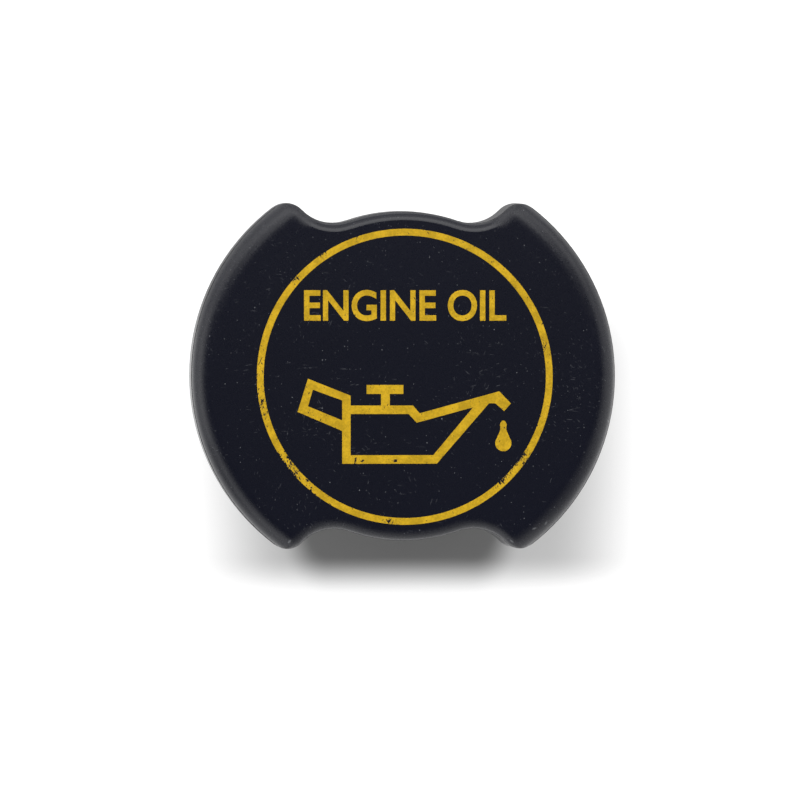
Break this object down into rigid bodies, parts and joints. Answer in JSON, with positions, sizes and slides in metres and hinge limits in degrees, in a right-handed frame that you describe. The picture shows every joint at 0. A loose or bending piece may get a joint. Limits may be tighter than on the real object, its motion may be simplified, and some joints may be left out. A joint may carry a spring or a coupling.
{
  "type": "oil filler cap",
  "caption": "Winged bayonet cap for an engine's oil filler neck, with a hollow stem, quarter-turn lugs and a rubber seal ring.",
  "frame": {"origin": "on the cap's axis, in the plane where the seal's land meets the top of the filler neck", "axes": "+Z along the cap's axis out of the printed face, +X across the two wings, +Y towards the top of the printed symbol"},
  "size_m": [0.072, 0.0588, 0.029],
  "materials": {
    "cap_body": "satin black glass-filled nylon, lightly scuffed",
    "seal_ring": "matt black nitrile rubber",
    "print_ink": "yellow pad print with small chips"
  },
  "bodies": {
    "root": {"cap_body": "cap_body", "seal_ring": "seal_ring"}
  },
  "joints": []
}
